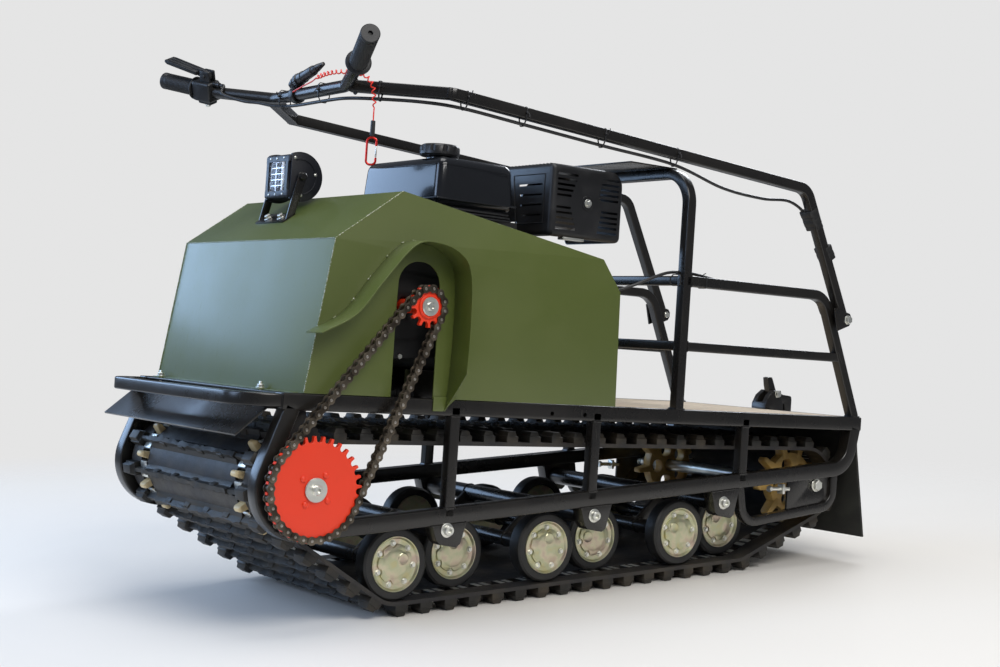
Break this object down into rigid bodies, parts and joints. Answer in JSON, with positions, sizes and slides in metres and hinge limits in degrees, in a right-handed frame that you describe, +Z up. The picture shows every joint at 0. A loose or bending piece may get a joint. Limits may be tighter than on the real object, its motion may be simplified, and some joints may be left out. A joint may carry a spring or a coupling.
{
  "type": "tracked snow tow vehicle",
  "caption": "Small motorised tracked tow vehicle for snow: open frame, engine cover, cargo rack, folding tiller, rubber track on rocking bogies, chain drive.",
  "frame": {"origin": "on the ground plane at the middle of the width, on the tip of a track lug", "axes": "+X forward along the vehicle, +Y to the vehicle's left, where the chain drive is, +Z up"},
  "size_m": [1.5027, 0.7736, 0.9986],
  "materials": {
    "black_paint": "gloss powder coat",
    "olive_paint": "satin powder coat",
    "orange_paint": "satin paint",
    "black_rubber": "moulded, matt",
    "polyurethane": "cast, satin",
    "yellow_zinc": "yellow zinc plate with a rubber tyre",
    "bright_zinc": "bright zinc plate",
    "chain_steel": "oiled steel",
    "plywood": "bare plywood",
    "black_plastic": "moulded, satin",
    "cast_alloy": "as cast",
    "lamp_lens": "clear over reflectors",
    "red_cord": "satin plastic",
    "red_alloy": "anodised"
  },
  "bodies": {
    "chassis": {"deck_frame": "black_paint", "side_frame_left": "black_paint", "side_frame_right": "black_paint", "cargo_deck": "plywood", "snow_deflector": "black_paint", "mud_flap": "black_rubber", "tow_hitch": "black_paint", "engine_cover": "olive_paint", "chain_hood": "olive_paint", "lamp_bracket": "black_paint", "engine_block": "cast_alloy", "fuel_tank": "black_plastic", "muffler": "black_paint", "muffler_guard": "black_paint", "air_cleaner": "black_plastic", "recoil_starter": "black_plastic", "cargo_rack": "black_paint", "track": "black_rubber", "chain": "chain_steel", "frame_cable": "black_plastic"},
    "tiller": {"tiller": "black_paint", "grip_left": "black_rubber", "grip_right": "black_rubber", "throttle_body": "black_plastic", "kill_switch": "black_plastic", "kill_cord": "red_cord", "carabiner": "red_alloy", "control_cable": "black_plastic"},
    "throttle_lever": {"throttle_lever": "black_paint"},
    "carabiner_gate": {"carabiner_gate": "bright_zinc"},
    "lamp": {"lamp_housing": "black_plastic", "lamp_lens": "lamp_lens"},
    "fuel_cap": {"fuel_cap": "black_plastic"},
    "starter_handle": {"starter_handle": "black_plastic"},
    "hitch_lever": {"hitch_lever": "black_paint"},
    "drive": {"drive_axle": "bright_zinc", "driven_sprocket": "orange_paint", "drive_sprocket_left": "polyurethane", "drive_sprocket_right": "polyurethane"},
    "jackshaft": {"engine_sprocket": "orange_paint"},
    "rear_axle": {"rear_axle": "bright_zinc"},
    "idlers": {"idler_left": "polyurethane", "idler_right": "polyurethane"},
    "bogie_front": {"bogie_front": "black_paint"},
    "bogie_middle": {"bogie_middle": "black_paint"},
    "bogie_rear": {"bogie_rear": "black_paint"},
    "wheel_1_left": {"wheel_1_left": "yellow_zinc"},
    "wheel_1_right": {"wheel_1_right": "yellow_zinc"},
    "wheel_2_left": {"wheel_2_left": "yellow_zinc"},
    "wheel_2_right": {"wheel_2_right": "yellow_zinc"},
    "wheel_3_left": {"wheel_3_left": "yellow_zinc"},
    "wheel_3_right": {"wheel_3_right": "yellow_zinc"},
    "wheel_4_left": {"wheel_4_left": "yellow_zinc"},
    "wheel_4_right": {"wheel_4_right": "yellow_zinc"},
    "wheel_5_left": {"wheel_5_left": "yellow_zinc"},
    "wheel_5_right": {"wheel_5_right": "yellow_zinc"},
    "wheel_6_left": {"wheel_6_left": "yellow_zinc"},
    "wheel_6_right": {"wheel_6_right": "yellow_zinc"}
  },
  "joints": [
    {"name": "tiller_fold", "type": "hinge", "parent": "chassis", "child": "tiller", "pos_m": [-0.63742, 0, 0.49842], "axis": [0, -1, 0], "range_deg": [0, 135]},
    {"name": "throttle_press", "type": "hinge", "parent": "tiller", "child": "throttle_lever", "pos_m": [0.52123, -0.26593, 0.95665], "axis": [0.887, 0.2736, -0.372], "range_deg": [0, 9.5], "stiffness_Nm_per_rad": 0.5, "springref_deg": -28.65},
    {"name": "gate_open", "type": "hinge", "parent": "tiller", "child": "carabiner_gate", "pos_m": [0.43196, 0.1952, 0.77802], "axis": [0.5858, 0.8094, 0.0417], "range_deg": [0, 28], "stiffness_Nm_per_rad": 0.02, "springref_deg": -22.92},
    {"name": "lamp_tilt", "type": "hinge", "parent": "chassis", "child": "lamp", "pos_m": [0.46619, -0.0475, 0.7544], "axis": [0, 1, 0], "range_deg": [-25, 25]},
    {"name": "cap_turn", "type": "hinge", "parent": "chassis", "child": "fuel_cap", "pos_m": [0.22788, 0.085, 0.79258], "axis": [-0.071, 0, 0.9975], "range_deg": [0, 180]},
    {"name": "starter_pull", "type": "slide", "parent": "chassis", "child": "starter_handle", "axis": [-0.071, 0, 0.9975], "range_m": [0, 0.034], "stiffness_N_per_m": 150, "springref_m": -0.05},
    {"name": "hitch_open", "type": "hinge", "parent": "chassis", "child": "hitch_lever", "pos_m": [-0.71456, 0, 0.32852], "axis": [0, 1, 0], "range_deg": [0, 60]},
    {"name": "drive_spin", "type": "hinge", "parent": "chassis", "child": "drive", "pos_m": [0.60634, 0, 0.23603], "axis": [0, 1, 0], "continuous": true, "deforming": ["track", "chain"]},
    {"name": "jackshaft_spin", "type": "hinge", "parent": "chassis", "child": "jackshaft", "pos_m": [0.39227, 0, 0.52745], "axis": [0, 1, 0], "continuous": true, "deforming": ["chain"]},
    {"name": "track_tension", "type": "slide", "parent": "chassis", "child": "rear_axle", "axis": [0.9975, 0, 0.071], "range_m": [-0.01, 0.01], "deforming": ["track"]},
    {"name": "idler_spin", "type": "hinge", "parent": "rear_axle", "child": "idlers", "pos_m": [-0.57623, 0, 0.16192], "axis": [0, 1, 0], "continuous": true, "deforming": ["track"]},
    {"name": "bogie_front_rock", "type": "hinge", "parent": "chassis", "child": "bogie_front", "pos_m": [0.3375, 0, 0.1468], "axis": [0, 1, 0], "range_deg": [-8, 8], "deforming": ["track"]},
    {"name": "wheel_1_left_spin", "type": "hinge", "parent": "bogie_front", "child": "wheel_1_left", "pos_m": [0.4125, 0, 0.0898], "axis": [0, 1, 0], "continuous": true, "deforming": ["track"]},
    {"name": "wheel_1_right_spin", "type": "hinge", "parent": "bogie_front", "child": "wheel_1_right", "pos_m": [0.4125, 0, 0.0898], "axis": [0, 1, 0], "continuous": true, "deforming": ["track"]},
    {"name": "wheel_2_left_spin", "type": "hinge", "parent": "bogie_front", "child": "wheel_2_left", "pos_m": [0.2625, 0, 0.0898], "axis": [0, 1, 0], "continuous": true, "deforming": ["track"]},
    {"name": "wheel_2_right_spin", "type": "hinge", "parent": "bogie_front", "child": "wheel_2_right", "pos_m": [0.2625, 0, 0.0898], "axis": [0, 1, 0], "continuous": true, "deforming": ["track"]},
    {"name": "bogie_middle_rock", "type": "hinge", "parent": "chassis", "child": "bogie_middle", "pos_m": [0.015, 0, 0.1468], "axis": [0, 1, 0], "range_deg": [-8, 8], "deforming": ["track"]},
    {"name": "wheel_3_left_spin", "type": "hinge", "parent": "bogie_middle", "child": "wheel_3_left", "pos_m": [0.09, 0, 0.0898], "axis": [0, 1, 0], "continuous": true, "deforming": ["track"]},
    {"name": "wheel_3_right_spin", "type": "hinge", "parent": "bogie_middle", "child": "wheel_3_right", "pos_m": [0.09, 0, 0.0898], "axis": [0, 1, 0], "continuous": true, "deforming": ["track"]},
    {"name": "wheel_4_left_spin", "type": "hinge", "parent": "bogie_middle", "child": "wheel_4_left", "pos_m": [-0.06, 0, 0.0898], "axis": [0, 1, 0], "continuous": true, "deforming": ["track"]},
    {"name": "wheel_4_right_spin", "type": "hinge", "parent": "bogie_middle", "child": "wheel_4_right", "pos_m": [-0.06, 0, 0.0898], "axis": [0, 1, 0], "continuous": true, "deforming": ["track"]},
    {"name": "bogie_rear_rock", "type": "hinge", "parent": "chassis", "child": "bogie_rear", "pos_m": [-0.3075, 0, 0.1468], "axis": [0, 1, 0], "range_deg": [-8, 8], "deforming": ["track"]},
    {"name": "wheel_5_left_spin", "type": "hinge", "parent": "bogie_rear", "child": "wheel_5_left", "pos_m": [-0.2325, 0, 0.0898], "axis": [0, 1, 0], "continuous": true, "deforming": ["track"]},
    {"name": "wheel_5_right_spin", "type": "hinge", "parent": "bogie_rear", "child": "wheel_5_right", "pos_m": [-0.2325, 0, 0.0898], "axis": [0, 1, 0], "continuous": true, "deforming": ["track"]},
    {"name": "wheel_6_left_spin", "type": "hinge", "parent": "bogie_rear", "child": "wheel_6_left", "pos_m": [-0.3825, 0, 0.0898], "axis": [0, 1, 0], "continuous": true, "deforming": ["track"]},
    {"name": "wheel_6_right_spin", "type": "hinge", "parent": "bogie_rear", "child": "wheel_6_right", "pos_m": [-0.3825, 0, 0.0898], "axis": [0, 1, 0], "continuous": true, "deforming": ["track"]}
  ],
  "couplings": [
    {"joint": "jackshaft_spin", "follows": "drive_spin", "ratio": 2.6667},
    {"joint": "idler_spin", "follows": "drive_spin", "ratio": 1}
  ]
}
